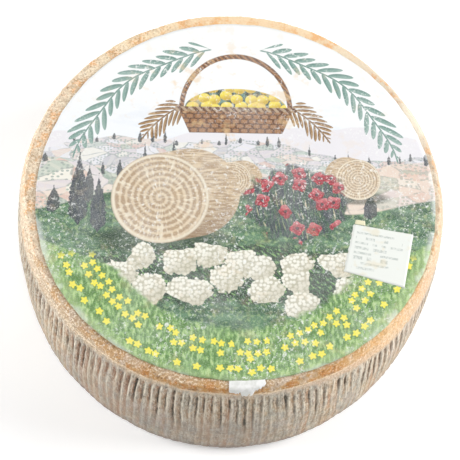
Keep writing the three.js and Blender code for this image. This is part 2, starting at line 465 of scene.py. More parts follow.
def wallColour(look, rib, place):
    x, y, z, angle = rib["x"], rib["y"], rib["z"], rib["angle"]
    wide = noise(place, 30, 2)
    blotch = noise(vector(x, y, z * 0.4), 8, 3, 0.6, shift=11)
    tints = noise(vector(x, y, z * 0.45), 4.5, 3, 0.6, shift=53)
    streak = noise(vector(x, y, z * 0.14), 1.15, 2, 0.65, shift=17)
    fine = noise(vector(x, y, z * 0.6), 1.4, 3, 0.65, shift=23)
    # greyish beige ribs, each of its own tint, with painted highlights on the crests and browner slopes that
    # are partly painted shade
    wall = painted(
        look["grey"], look, (wide, 0.4, 0.6, 1, "beige"),
        (blotch, 0.52, 0.64, 0.7, "lilac"), (blotch, 0.47, 0.36, 0.7, "olive"),
        (rib["tone"], 0.55, 0.95, 0.4, "tan"), (rib["tone"], 0.45, 0.1, 0.4, "cool"),
        (tints, 0.53, 0.64, 0.65, "cool"), (tints, 0.46, 0.35, 0.6, "tan"),
    )
    warm = smooth(noise(vector(x, y, z * 0.5), 14, 2, shift=29), 0.42, 0.6)
    # browner slopes: partly the rind's own brown, partly painted shade on one side of each rib
    wall = mixed(rib["slope"] * (0.15 + 0.25 * rib["high"] + 0.4 * warm), wall, look["brown"])
    rusty = smooth(rib["tone"], 0.72, 0.95) * smooth(blotch, 0.4, 0.6) * 0.6
    leftFront = smooth(angle, -2.7, -2.3) * smooth(angle, -1.75, -2.0)
    rusty = greater(rusty, leftFront * smooth(blotch, 0.4, 0.52) * (0.35 + 0.55 * rib["high"]))
    wall = mixed(rib["slope"] * rusty, wall, look["rust"])
    # a broad painted highlight round each crest
    wall = mixed(rib["wide"] * (0.3 + 0.2 * rib["high"]), wall, look["crest"])
    upper = 0.7 + 0.5 * rib["high"]
    wall = mixed(smooth(streak, 0.52, 0.64) * 0.4 * upper, wall, look["crest"])
    wall = mixed(smooth(streak, 0.49, 0.37) * 0.46 * upper, wall, look["dark"])
    wall = painted(wall, look, (fine, 0.53, 0.66, 0.36, "crest"), (fine, 0.47, 0.34, 0.4, "brown"))
    # pale hairs, then faint level scratches low down
    slanted = vector(x * 1.5 + z * 0.4, y * 1.5 - z * 0.3, z * 0.22)
    hairs = cells(slanted, 3.2, "DISTANCE_TO_EDGE", flat=False)["Distance"]
    hair = smooth(hairs, 0.05, 0.01) * smooth(noise(place, 9, 2, shift=91), 0.42, 0.58)
    wall = mixed(hair * 0.5, wall, look["crest"])
    level = noise(vector(x * 0.14, y * 0.14, z * 0.8), 1, 2, shift=67)
    wall = mixed(smooth(level, 0.54, 0.66) * smooth(z, 46, 28) * 0.35, wall, look["dark"])
    # painted shade low down at the front and over the whole left front, warmer on the right; what
    # goes by the angle fades out before the far left, where the angle starts again
    frontShade = around(angle, -1.83, 0.75, 0.3) * smooth(z, 60, 34)
    frontShade = greater(frontShade, around(angle, -2.2, 0.32, 0.1) * 0.85)
    wall = mixed(frontShade * 0.34, wall, look["foot"])
    notLeft = smooth(x, -90, 10)
    onRight = smooth(angle, -1.1, -0.4) * notLeft
    wall = mixed(onRight * 0.15, wall, look["tan"])
    wall = mixed(onRight * smooth(z, 30, 60) * 0.4, wall, look["lilac"])
    wall = mixed(smooth(angle, -0.8, -0.25) * notLeft * smooth(z, 30, 60) * 0.3, wall, look["grey"])
    mouldy = smooth(noise(vector(x, y, z * 0.7), 1.1, 2, 0.6, shift=101), 0.55, 0.66)
    mouldy = mouldy * smooth(noise(place, 16, 2, shift=103), 0.42, 0.58)
    wall = mixed(mouldy * rib["high"] * 0.6, wall, look["mould"])
    # the grooves darken with painted shade and dirt, and hold mould in their upper half
    gathered = noise(vector(x, y, z * 0.45), 2.4, 3, 0.65, shift=47)
    onLeft = smooth(x, -60, -90) * smooth(z, 25, 45) * 0.75
    shade = rib["line"] * greater(0.18 + 0.8 * rib["high"] * rib["dark"], onLeft)
    sides = greater(smooth(x, 25, 80) * 0.8, smooth(x, -80, -115) * 0.4)
    grooveShadeAndDirt = mixed(sides, look["dark"], look["umber"])
    wall = mixed(shade * smooth(gathered, 0.3, 0.5, 0.4, 1), wall, grooveShadeAndDirt)
    mould = rib["line"] * rib["high"] * rib["dark"] * smooth(gathered, 0.44, 0.56)
    wall = mixed(mould * smooth(x, 75, 25, 0.35, 0.9), wall, look["mould"])
    # a painted highlight along each crest
    wall = mixed(rib["crest"] * (0.4 + 0.45 * rib["high"]), wall, look["crest"])
    # painted shade at the bottom, where the wheel meets the floor
    return mixed(smooth(z, 10, 2) * smooth(blotch, 0.35, 0.55, 0.3, 1) * 0.8, wall, look["foot"])


def paleCrust(look, rib, patches):
    # cream with peach patches: milky on the right, rosy on the left, golden at the right front
    x, angle = rib["x"], rib["angle"]
    pale = mixed(smooth(patches, 0.42, 0.58), look["crust"], look["peach"])
    pale = mixed(smooth(x, 30, 100) * smooth(angle, -0.35, 0.2) * 0.85, pale, look["milky"])
    pale = mixed(around(angle, -0.85, 0.68, 0.3) * 0.65, pale, look["tan"])
    pale = mixed(smooth(x, -50, -105) * 0.55, pale, look["rosy"])
    warm = around(angle, 1.5, 0.6, 0.15) * 0.22
    warm = greater(warm, smooth(patches, 0.52, 0.62) * 0.8)
    pale = mixed(warm, pale, look["apricot"])
    return mixed(around(angle, -0.85, 0.55, 0.15) * 0.45, pale, look["gold"])


def dryCrust(look, rib, place, patches, lip, below):
    # towards the front the crust is dry and brown, with amber patches on its outer lip
    x, y, z, angle = rib["x"], rib["y"], rib["z"], rib["angle"]
    dry = mixed(smooth(patches, 0.42, 0.58), look["dry"], look["lilacCrust"])
    golden = noise(vector(x, y, z * 1.1), 9, 3, 0.6, shift=73) - 0.05
    more = greater(around(angle, -1.75, 0.6, 0.2), around(angle, -1, 0.3, 0.1))
    golden = golden + more * 0.13
    dry = mixed(smooth(golden, 0.42, 0.54) * (0.15 + 0.75 * lip), dry, look["amber"])
    dry = mixed(smooth(golden, 0.54, 0.64) * lip * 0.8, dry, look["orange"])
    rusty = smooth(noise(place, 9, 2, shift=105), 0.5, 0.6) * around(angle, -2.42, 0.45, 0.2)
    dry = mixed(rusty * 0.55, dry, look["ruddy"])
    spots = smooth(noise(place, 2.4, 3, 0.65, shift=79), 0.56, 0.64)
    dry = mixed(spots * (0.4 + 0.2 * lip), dry, look["speck"])
    dry = mixed(below * 0.7, dry, look["lilacCrust"])
    return mixed(smooth(z, topHeight - 0.3, topHeight) * smooth(x, -55, -85) * 0.4, dry, look["lilacCrust"])


def sidesOfRim(rim, look, rib):
    # duller below the brink: greyish on the left, tan on the right
    x, y, z, angle = rib["x"], rib["y"], rib["z"], rib["angle"]
    onLeft = smooth(x, -45, -85) * smooth(y, 60, 0) * smooth(y, -10, -85, 0.36, 0.88)
    rim = mixed(smooth(z, topHeight + 1, topHeight - 6) * onLeft, rim, look["drab"])
    onRight = smooth(angle, -1.4, -1.05) * smooth(angle, 1.0, 0.2)
    under = smooth(z, topHeight - 0.2, topHeight - 1.6) * smooth(angle, -0.95, -0.3) * 0.8
    onRight = onRight * greater(under, smooth(z, topHeight - 4, topHeight - 10) * 0.45)
    rim = mixed(onRight, rim, look["blush"])
    paler = smooth(z, topHeight - 0.7, topHeight - 0.1) * around(angle, 0.15, 0.65, 0.3)
    rim = mixed(paler * 0.75, rim, look["cream"])
    # amber patches along the brink at the right front and the left front
    patchy = smooth(noise(vector(x, y, z * 1.1), 7, 3, 0.6, shift=111), 0.46, 0.58)
    patchy = patchy * around(angle, -0.85, 0.45, 0.25) * smooth(z, topHeight - 6, topHeight - 3.5)
    rim = mixed(patchy * 0.6, rim, look["amber"])
    leftBrink = around(angle, -2.45, 0.5, 0.3)
    rim = mixed(leftBrink * smooth(z, topHeight - 1.5, topHeight - 0.2) * 0.4, rim, look["lilacCrust"])
    blots = smooth(noise(vector(x, y, z * 1.2), 10, 3, 0.65, shift=113), 0.51, 0.56)
    return mixed(blots * leftBrink * smooth(z, topHeight - 5.5, topHeight - 3) * 0.7, rim, look["amber"])


def rimColour(look, rib, place):
    x, y, z, angle = rib["x"], rib["y"], rib["z"], rib["angle"]
    patches = noise(vector(x, y, z * 1.3), 8, 3, 0.65, shift=59)
    front = smooth(angle, -2.85, -2.42) * smooth(angle, -0.7, -1.15)
    lipLow = (rib["start"] + topHeight) * 0.5 - 0.7
    lip = smooth(z, lipLow - 1.2, lipLow + 0.6) * smooth(z, topHeight - 0.02, topHeight - 0.6)
    below = smooth(z, lipLow, lipLow - 1.5)
    dry = dryCrust(look, rib, place, patches, lip, below)
    rim = sidesOfRim(mixed(front, paleCrust(look, rib, patches), dry), look, rib)
    # grains and flecks, more of them on the left and where the front is rough
    speckled = smooth(x, 10, -90)
    rough = greater(front * (1 - 0.8 * lip) * (1 - 0.6 * below), speckled)
    rough = greater(rough, around(angle, -0.5, 0.9, 0.5) * 0.3)
    fine = noise(place, 1.3, 3, 0.65, shift=61)
    clumps = smooth(noise(place, 6, 2, shift=109), 0.36, 0.6, 0.35, 1)
    rim = mixed(smooth(fine, 0.51, 0.59) * (0.1 + 0.6 * rough), rim, look["cream"])
    rim = mixed(smooth(fine, 0.48, 0.38) * (0.05 + 0.6 * rough) * clumps, rim, look["brown"])
    flecks = smooth(noise(vector(x, y, z * 0.5), 2, 3, 0.65, shift=115), 0.54, 0.62)
    rim = mixed(flecks * speckled * smooth(z, topHeight - 0.5, topHeight - 3) * 0.5, rim, look["tan"])
    edging = smooth(abs(z - lipLow + 0.6), 0.9, 0.2) * front
    rim = mixed(edging * 0.45, rim, look["crust"])
    mottled = smooth(noise(place, 5, 3, 0.6, shift=107), 0.5, 0.6)
    rim = mixed(mottled * speckled * 0.45, rim, look["dry"])
    specks = smooth(noise(place, 0.9, 2, 0.5, shift=71), 0.6, 0.66)
    return mixed(specks * (0.05 + 0.5 * rough), rim, look["speck"])


def rindMaterial():
    look = {name: ink(*value) for name, value in rindLook.items() if isinstance(value, tuple)}
    material, tree, shader = newMaterial("rind", {})
    place = objectPlace(tree)
    rib = ribPattern(place, ribs["count"], ribs["seed"])
    x, y, z = rib["x"], rib["y"], rib["z"]
    ragged = noise(vector(x, y, z * 0.6), 3.2, 3, 0.65, shift=83) - 0.5
    border = rib["start"] + ragged * 7
    onRim = smooth(z, border - 2.5 - around(rib["angle"], -1.7, 0.45, 1.0), border + 3)
    colour = mixed(onRim, wallColour(look, rib, place), rimColour(look, rib, place))
    # painted shade in the grooves where they reach into the crust
    colour = mixed(rib["line"] * onRim * 0.45, colour, look["brown"])
    holes = cells(place, 17, flat=False)
    hole = smooth(holes["Distance"], 0.07, 0.035) * smooth(z, 8, 14)
    colour = mixed(hole * 0.85, colour, look["mould"])
    fine = noise(place, 1.3, 3, 0.65, shift=23)
    crusty = noise(place, 2.2, 3, 0.65, shift=97)
    streak = noise(vector(x, y, z * 0.16), 0.95, 2, 0.6, shift=17)
    plug(shader.inputs["Base Color"], colour)
    plug(shader.inputs["Roughness"], rindLook["roughness"] + rindLook["roughnessSpread"] * fine)
    relief = 0.4 * fine + 0.25 * streak + 0.25 * rib["crest"] + 0.6 * crusty - 0.35 * hole
    plug(shader.inputs["Normal"], bump(relief, 0.9, 0.8))
    return material


wheelMesh = {
    "columnsPerRib": 10, "wallRows": 31, "shoulderRows": 8, "cornerRows": 5, "footRows": 5,
    "bottomRadii": (40, 100, 113), "insideBrink": (1.2, 3.5, 9, 55),
}
ribSizes = {
    "Rib count": ribs["count"], "Groove depth": ribs["grooveDepth"], "Slope depth": ribs["slopeDepth"],
    "Lump depth": 0.6, "Crust depth": 0.4, "Skin rise": 0.45,
}


def smoothWheel():
    count = ribs["count"] * wheelMesh["columnsPerRib"]
    angles = np.linspace(0, 2 * np.pi, count, endpoint=False)
    height, drop, rise, corner = (wheel[name] for name in ("height", "shoulderDrop", "footRise", "corner"))
    bend = np.sin(np.linspace(0, np.pi / 2, wheelMesh["footRows"] + 1))
    levels = list(rise * (1 - bend[::-1]))
    levels += list(np.linspace(rise, height - drop, wheelMesh["wallRows"] + 1))[1:]
    levels += list(np.linspace(height - drop, height - corner, wheelMesh["shoulderRows"] + 1))[1:]
    rings = [(radius, 0) for radius in wheelMesh["bottomRadii"]]
    rings += [(wheelRadius(angles, z), z) for z in levels]
    for row in range(1, wheelMesh["cornerRows"] + 1):
        turn = math.pi / 2 * row / wheelMesh["cornerRows"]
        rings.append((wheelBrink(angles) + corner * math.cos(turn), height - corner * (1 - math.sin(turn))))
    rings += [(wheelBrink(angles) - inside, height) for inside in wheelMesh["insideBrink"]]
    axisX, axisY = wheel["axis"]
    points = []
    for radius, z in rings:
        x = axisX + radius * np.cos(angles)
        y = axisY + radius * np.sin(angles)
        points.append(np.stack([x, y, np.full(count, float(z))], 1) * mm)
    low = (axisX * mm, axisY * mm, 0)
    high = (axisX * mm, axisY * mm, height * mm)
    return ringMesh("smoothWheel", points, low, high)


def fromLabelMiddle(x, y):
    x = x - labelMiddle[0]
    y = y - labelMiddle[1]
    return lengthOf(x, y)


def ribTree(material):
    tree, ports, keys = geometryTree("basketRibs", ribSizes)
    place = vectorOn("SCALE", Wire.node(tree, "GeometryNodeInputPosition"), scale=1 / mm)
    rib = ribPattern(place, ports["Rib count"], ribs["seed"])
    x, y, z = rib["x"], rib["y"], rib["z"]
    below = ribs["depthBelow"]
    offset = rib["line"] * rib["deep"] * ports["Groove depth"] * (below + (1 - below) * rib["high"])
    offset = offset + rib["slope"] * rib["on"] * ports["Slope depth"] * (0.25 + 0.75 * rib["high"])
    # lumps and crusty skin
    lumps = smooth(noise(vector(x, y, z * 0.7), 28, 2, shift=ribs["seed"]), 0.35, 0.75)
    crust = smooth(noise(place, 3.4, 3, 0.6, shift=13), 0.42, 0.75)
    offset = offset + lumps * ports["Lump depth"] + crust * ports["Crust depth"]
    offset = offset - ports["Skin rise"] * smooth(z, topHeight, topHeight - 4)
    # flat where the wheel rests and where the label lies
    inside = smooth(fromLabelMiddle(x, y), label["radius"] + 0.5, label["radius"] - 2)
    covered = inside * (z > topHeight - 0.5)
    offset = offset * smooth(z, 0.2, 2.5) * (1 - covered) + covered * label["sunk"]
    moved = vectorOn("SCALE", Wire.node(tree, "GeometryNodeInputNormal"), scale=offset * -mm)
    moved = vectorOn("ADD", Wire.node(tree, "GeometryNodeInputPosition"), moved)
    low, high = (tuple(corner[axis] * insideBox for axis in range(3)) for corner in cadBounds)
    moved = vectorOn("MINIMUM", vectorOn("MAXIMUM", moved, low), high)
    values = {"Geometry": ports["Geometry"], "Position": moved}
    closeTree(tree, Wire.node(tree, "GeometryNodeSetPosition", None, values), material)
    return tree, keys


rind = rindMaterial()
wheelTree, wheelKeys = ribTree(rind)
wheelPiece = grown(smoothWheel(), "pecorinoWheel", wheelTree, wheelKeys, ribSizes)
bpy.data.objects.remove(bpy.data.objects["smoothWheel"])
addPiece(wheelPiece, "wheel")

# The label's print: a generic summer landscape in faded inks, drawn on the label's own
# coordinates, where 1 is the label's radius.
printLook = {
    "paper": (250, 251, 250), "sky": (244, 247, 251), "cloud": (230, 236, 245),
    "farHill": (234, 230, 234), "mauve": (216, 203, 205), "salmon": (230, 204, 184),
    "terracotta": (214, 168, 144), "cream": (242, 236, 220), "sage": (172, 186, 164),
    "stone": (188, 182, 184), "hedge": (104, 110, 98), "meadow": (104, 142, 108),
    "meadowShade": (66, 102, 74), "slate": (58, 66, 76), "leaf": (112, 148, 138),
    "leafLight": (150, 180, 170), "straw": (224, 205, 176), "strawShade": (184, 158, 128),
    "strawLight": (240, 230, 208), "wheat": (190, 150, 96), "wheatDark": (128, 96, 60),
    "poppy": (198, 62, 78), "poppyShade": (150, 36, 50), "poppyLight": (226, 150, 152),
    "poppyHeart": (64, 52, 58), "blossom": (246, 244, 232), "blossomShade": (216, 211, 192),
    "blossomGap": (186, 181, 156), "undergrowth": (52, 66, 52), "grass": (152, 191, 120),
    "grassLight": (192, 215, 152), "grassShade": (98, 139, 74), "buttercup": (246, 236, 84),
    "stain": (240, 208, 160), "wicker": (168, 122, 80), "wickerShade": (108, 70, 42),
    "lemon": (246, 226, 88), "lemonShade": (212, 178, 60),
}
printStrength = 0.93
printInk = {name: ink(*value, printStrength) for name, value in printLook.items()}


def waveLine(u, height, swings):
    for size, times, shift in swings:
        height = height + sine(u * times + shift) * size
    return height


def fieldsAt(u, v, size, stretch, shift, stops):
    # a patchwork of fields with furrows and hedges
    flat = vector(u + shift, v * stretch)
    bend = (noise(flat, 0.35, 1) - 0.5) * 0.25
    flat = vector(u + shift + bend, v * stretch + bend)
    cell = cells(flat, size)
    choice, facing, shade = parts(cell["Color"])
    colour = bands(choice, stops)
    turn = facing * math.pi
    furrows = sine((u * cosine(turn) + v * stretch * sine(turn)) * (9 / size))
    colour = painted(
        colour, printInk, (furrows, -0.2, 0.8, 0.3, "strawLight"), (shade, 0.5, 1, 0.22, "stone"),
    )
    edge = cells(flat, size, "DISTANCE_TO_EDGE")["Distance"]
    broken = smooth(noise(flat, 0.05, 2), 0.4, 0.6)
    colour = mixed(smooth(edge, 0.09, 0.03) * broken * 0.8, colour, printInk["hedge"])
    # orchards: small round trees, in some fields only
    tree = cells(vector(u, v * 1.5), size * 0.24, jitter=0.55)
    kind = parts(tree["Color"])[0]
    crown = smooth(tree["Distance"], 0.36, 0.28) * (shade > 0.42) * (kind > 0.25)
    leafy = mixed(kind, printInk["slate"], printInk["meadow"])
    return mixed(crown * 0.8, colour, leafy)


def treeOn(colour, u, v, place, height, width):
    # one tall dark cypress
    up = (v - place[1]) / height
    flat = vector(u, v)
    ragged = (noise(flat, 0.02, 2) - 0.5) * 0.03
    half = width * smooth(up, 1.02, 0.3) * smooth(up, -0.04, 0.15)
    mask = smooth(half - abs(u - place[0]) + ragged, 0, 0.005)
    mask = mask * smooth(up, 1.04, 1) * smooth(up, -0.03, 0)
    streaks = noise(vector(u, v * 0.3), 0.014, 2)
    lit = mixed(smooth(streaks, 0.48, 0.62) * 0.6, printInk["slate"], printInk["hedge"])
    return mixed(mask * 0.96, colour, lit)


def cypressesOn(colour, u, v, base, perUnit, height, width, seed):
    step = u * perUnit + seed
    index = whole(step)
    across = (step - index - 0.5 + (drawn(index, 21) - 0.5) * 0.5) / perUnit
    tall = height * (0.45 + drawn(index, 22) * 0.75)
    up = (v - base) / tall
    half = width * (0.7 + drawn(index, 23) * 0.6) * smooth(up, 1.02, 0.35) * smooth(up, -0.05, 0.12)
    ragged = (noise(vector(u, v), 0.012, 1) - 0.5) * 0.012
    mask = smooth(half - abs(across) + ragged, 0, 0.004) * (drawn(index, 24) > 0.35)
    mask = mask * smooth(up, 1.05, 0.98) * smooth(up, -0.06, 0)
    lit = mixed(smooth(across, -width * 0.6, width * 0.5) * 0.4, printInk["slate"], printInk["hedge"])
    return mixed(mask * 0.95, colour, lit)


def baleOn(colour, u, v, place, radius, side):
    dx = (u - place[0]) / radius
    dy = (v - place[1]) / radius
    shadow = smooth(root(dx * dx * 0.5 + (dy + 0.9) * (dy + 0.9) * 9), 1.15, 0.7)
    colour = mixed(shadow * 0.7, colour, printInk["undergrowth"])
    reach = side[0] ** 2 + side[1] ** 2
    slide = lesser(greater((dx * side[0] + dy * side[1]) / reach, 0.0), 1.0)
    backX = dx - slide * side[0]
    backY = dy - slide * side[1]
    body = smooth(lengthOf(backX, backY), 1.0, 0.97)
    straws = noise(vector(dx * 1.2, dy * 7), 0.35, 2)
    coats = ((straws, 0.4, 0.62, 1, "straw"), (dy, 0.2, -0.9, 0.6, "wheatDark"))
    colour = mixed(body, colour, painted(printInk["strawShade"], printInk, *coats))
    far = lengthOf(dx, dy)
    turn = arctan(dy, dx)
    coil = far * 8 + turn / (2 * math.pi)
    coil = abs(coil - whole(coil) - 0.5) * 2
    rays = noise(vector(cosine(turn) * 3.2, sine(turn) * 3.2, far * 1.6), 0.28, 2)
    coats = (
        (coil + (rays - 0.5) * 1.2, 0.25, 0.8, 1, "straw"), (rays, 0.52, 0.68, 0.8, "strawLight"),
        (far, 0.9, 0.94, 0.85, "strawLight"), (far, 0.95, 1.0, 0.7, "strawShade"),
    )
    end = painted(printInk["strawShade"], printInk, *coats)
    return mixed(smooth(far, 1.0, 0.97), colour, end)


def flowers(flat, size, jitter, petalCount, reach, ripple):
    # one flower in each cell: the cell, a random value, where its petals end, the height in it
    cell = cells(flat, size, jitter=jitter)
    pick, spin, _ = parts(cell["Color"])
    heartX, heartY, _ = parts(vectorOn("SUBTRACT", flat, cell["Position"]))
    petals = reach + sine(arctan(heartY, heartX) * petalCount + spin * 6) * ripple
    return cell, pick, petals, heartY


def poppiesOn(colour, u, v):
    dx = (u - 0.3) / 0.27
    dy = (v + 0.04) / 0.22
    flat = vector(u, v)
    ragged = (noise(flat, 0.07, 2) - 0.5) * 0.7
    inside = smooth(lengthOf(dx, dy) + ragged, 1.0, 0.84)
    blades = noise(vector(u + v * 0.15, v * 0.16), 0.011, 2)
    coats = ((blades, 0.42, 0.6, 1, "meadowShade"), (blades, 0.6, 0.7, 0.8, "straw"))
    colour = mixed(inside * 0.95, colour, painted(printInk["slate"], printInk, *coats))
    cell, pick, petals, heartY = flowers(flat, 0.092, 0.75, 4, 0.41, 0.05)
    petals = petals + (noise(flat, 0.02, 1) - 0.5) * 0.12
    flower = smooth(cell["Distance"], petals, petals - 0.05) * (pick > 0.3)
    coats = (
        (noise(flat, 0.016, 2), 0.45, 0.6, 1, "poppy"), (heartY, 0.0, 0.03, 0.55, "poppyLight"),
        (cell["Distance"], 0.12, 0.07, 0.9, "poppyHeart"),
    )
    reds = painted(printInk["poppyShade"], printInk, *coats)
    return mixed(flower * smooth(inside, 0.3, 0.7), colour, reds)


def blossomsOn(colour, u, v):
    # round heads of small cream florets over dark leaves
    reach, size, seed = 0.18, 0.15, 2.3
    low, bow, tall = 0.43, 0.14, 1.12  # how low the band lies and bows, and how the heads stretch
    middle = -low - u * u * bow
    flat = vector(u + seed, v * tall)
    swayX = (noise(flat, 0.05, 1) - 0.5) * 0.035
    swayY = (noise(flat, 0.06, 1, shift=3) - 0.5) * 0.035
    bent = vector(u + seed + swayX, v * tall + swayY)
    band = smooth(abs(v - middle) + (noise(flat, 0.09, 2) - 0.5) * 0.12, reach, reach * 0.72)
    leaves = noise(vector(u * 1.4 + v, v), 0.022, 3)
    coats = ((leaves, 0.44, 0.56, 1, "meadowShade"), (leaves, 0.56, 0.64, 0.8, "grass"))
    colour = mixed(band * 0.94, colour, painted(printInk["undergrowth"], printInk, *coats))
    floret = cells(vector(u, v), 0.019, jitter=0.8)
    bloom = parts(floret["Color"])[0]
    cell = cells(bent, size, jitter=0.75)
    pick = parts(cell["Color"])[0]
    headU, headV, _ = parts(cell["Position"])
    headU = headU - seed
    shown = abs(headV / tall + low + headU * headU * bow) < reach * 0.85
    lowX, lowY, _ = parts(vectorOn("SUBTRACT", bent, cell["Position"]))
    uneven = (noise(vector(u, v), 0.03, 2, shift=6) - 0.5) * 0.3
    wide = 0.6 + pick * 0.12 - floret["Distance"] * 0.12 + uneven
    head = smooth(cell["Distance"], wide, wide - 0.03) * (pick > 0.03)
    shade = smooth(lowY * 0.8 - lowX * 0.5, -size * 0.3, size * 0.16)
    white = painted(
        mixed(shade, printInk["blossomShade"], printInk["blossom"]), printInk,
        (floret["Distance"], 0.3, 0.6, 0.8, "blossomGap"), (bloom, 0.75, 0.9, 0.4, "cream"),
    )
    return mixed(head * shown, colour, white)


def grassOn(colour, u, v):
    far = lengthOf(u, v)
    angle = arctan(u, v * -1)  # from the bottom, to the right
    blades = noise(vector(u, v * 0.4), 0.016, 3)
    edge = (noise(vector(u, v), 0.05, 2) - 0.5) * 0.06
    edge = edge - smooth(v, -0.42, -0.22) * 0.3
    inside = smooth(far + edge, 0.70, 0.735) * smooth(v, -0.2, -0.3)
    coats = (
        (blades, 0.42, 0.6, 1, "grass"), (blades, 0.54, 0.68, 0.8, "grassLight"),
        (far, 0.93, 0.99, 0.4, "grassLight"),
    )
    colour = mixed(inside, colour, painted(printInk["grassShade"], printInk, *coats))
    # buttercups in three loose rows that follow the rim
    firstRow, rowStep = 0.765, 0.072
    cell, pick, petals, _ = flowers(vector(angle * 0.84, far), 0.046, 0.5, 5, 0.38, 0.08)
    heartFar = parts(cell["Position"])[1]
    rows = sine((heartFar - firstRow) * (2 * math.pi / rowStep))
    shown = (pick > 0.2) * (heartFar > 0.745) * (heartFar < 0.945) * (rows > -0.3)
    shown = shown * smooth(v, -0.3, -0.36)
    ring = smooth(cell["Distance"], petals + 0.1, petals + 0.02)
    colour = mixed(ring * shown * 0.6, colour, printInk["grassShade"])
    flower = smooth(cell["Distance"], petals, petals - 0.06)
    return mixed(flower * shown, colour, printInk["buttercup"])


def sprigOn(colour, along, across, spacing, reach, width, ends, inks, number):
    # pairs of slanted leaves on both sides of a line that runs along
    aside = abs(across)
    other = across > 0
    step = (along - aside * 1.35) / spacing + other * 0.5
    index = whole(step)
    local = (step - index - 0.5) * spacing
    key = index + other * 57
    long = reach * (0.8 + drawn(key, number) * 0.35) * ends
    share = aside / greater(long, 0.001)
    half = width * root(greater(sine(lesser(share, 1.0) * math.pi), 0.0)) * ends
    leaf = smooth(half - abs(local), 0, 0.003) * smooth(share, 1.0, 0.97) * smooth(ends, 0.05, 0.15)
    vein = smooth(abs(local), 0.0035, 0.001)
    tint = mixed(smooth(local, -width * 0.4, width * 0.6) * 0.7, inks[0], inks[1])
    tint = mixed(vein * 0.5, tint, inks[1])
    stem = smooth(aside, 0.005, 0.003) * smooth(ends, 0.02, 0.1)
    colour = mixed(stem, colour, inks[0])
    return mixed(leaf, colour, tint)


def basketOn(colour, u, v):
    # a wicker basket heaped with lemons
    dx = u / 0.3
    dy = (v - 0.49) / 0.3
    far = root(dx * dx + dy * dy * 0.8)
    rope = smooth(abs(far - 0.93), 0.05, 0.035) * (dy > 0)
    twist = smooth(sine((dx + dy) * 60), -0.4, 0.6)
    colour = mixed(rope, colour, mixed(twist, printInk["wickerShade"], printInk["wicker"]))
    heap = smooth(root(dx * dx * 1.25 + dy * dy * 6), 1.0, 0.97) * (dy > 0)
    fruit = cells(vector(dx, dy * 1.1), 0.2, jitter=0.55)
    lowX, lowY, _ = parts(vectorOn("SUBTRACT", vector(dx, dy * 1.1), fruit["Position"]))
    lemon = mixed(smooth(lowY - lowX * 0.4, -0.07, 0.05), printInk["lemonShade"], printInk["lemon"])
    leaves = noise(vector(dx, dy), 0.09, 2)
    leafy = mixed(smooth(leaves, 0.45, 0.6), printInk["undergrowth"], printInk["leaf"])
    colour = mixed(heap, colour, mixed(smooth(fruit["Distance"], 0.56, 0.5), leafy, lemon))
    # the woven body, wider at its rim
    row = dy * 11
    odd = modulo(whole(row), 2.0)
    cane = abs(sine(dx * 22 + odd * (math.pi / 2)))
    level = smooth(abs(row - whole(row) - 0.5), 0.5, 0.25)
    weave = mixed(smooth(cane * level, 0.15, 0.7), printInk["wickerShade"], printInk["wicker"])
    side = smooth(0.99 + dy * 0.42 - abs(dx), 0, 0.012)
    colour = mixed(side * smooth(dy, -0.46, -0.45) * (dy < 0.0), colour, weave)
    brim = smooth(abs(dy), 0.05, 0.04) * smooth(abs(dx), 1.05, 1.03)
    twist = smooth(sine(dx * 48 + dy * 40), -0.4, 0.6)
    return mixed(brim, colour, mixed(twist, printInk["wickerShade"], printInk["strawShade"]))


def skyOn(colour, u, v):
    cloud = noise(vector(u, v * 2.4), 0.3, 4, 0.6)
    colour = mixed(smooth(v, 0.75, 0.2), colour, printInk["sky"])
    return mixed(smooth(cloud, 0.5, 0.66) * smooth(v, 0.9, 0.3) * 0.5, colour, printInk["cloud"])


def farHillsOn(colour, u, v):
    p = printInk
    line = waveLine(u, 0.36, ((0.05, 3.4, 0.6), (0.025, 8.1, 2.0), (0.008, 21, 1.0)))
    colour = mixed(smooth(line - v, 0, 0.01) * 0.8, colour, p["farHill"])
    stops = ((0, p["mauve"]), (0.2, p["farHill"]), (0.38, p["salmon"]), (0.55, p["cream"]),
             (0.68, p["stone"]), (0.82, p["terracotta"]), (0.92, p["sage"]))
    line = waveLine(u, 0.27, ((0.055, 2.6, 2.4), (0.02, 7.3, 0.4), (0.006, 29, 0.2)))
    fields = mixed(0.36, fieldsAt(u, v, 0.07, 2.3, 3.1, stops), p["cloud"])
    colour = mixed(smooth(line - v, 0, 0.006), colour, fields)
    return cypressesOn(colour, u, v, line - 0.025, 15, 0.07, 0.009, 40)


def nearHillsOn(colour, u, v):
    p = printInk
    stops = ((0, p["terracotta"]), (0.18, p["mauve"]), (0.34, p["sage"]), (0.5, p["salmon"]),
             (0.66, p["cream"]), (0.8, p["stone"]), (0.9, p["meadow"]))
    line = waveLine(u, 0.13, ((0.06, 3.1, 5.0), (0.02, 6.3, 1.4), (0.004, 33, 0.2)))
    fields = mixed(0.3, fieldsAt(u, v, 0.105, 1.9, 7.7, stops), p["paper"])
    fields = mixed(smooth(u, 0.25, 0.55) * 0.3, fields, p["salmon"])
    colour = mixed(smooth(line - v, 0, 0.006), colour, fields)
    return cypressesOn(colour, u, v, line - 0.03, 11, 0.12, 0.013, 17)


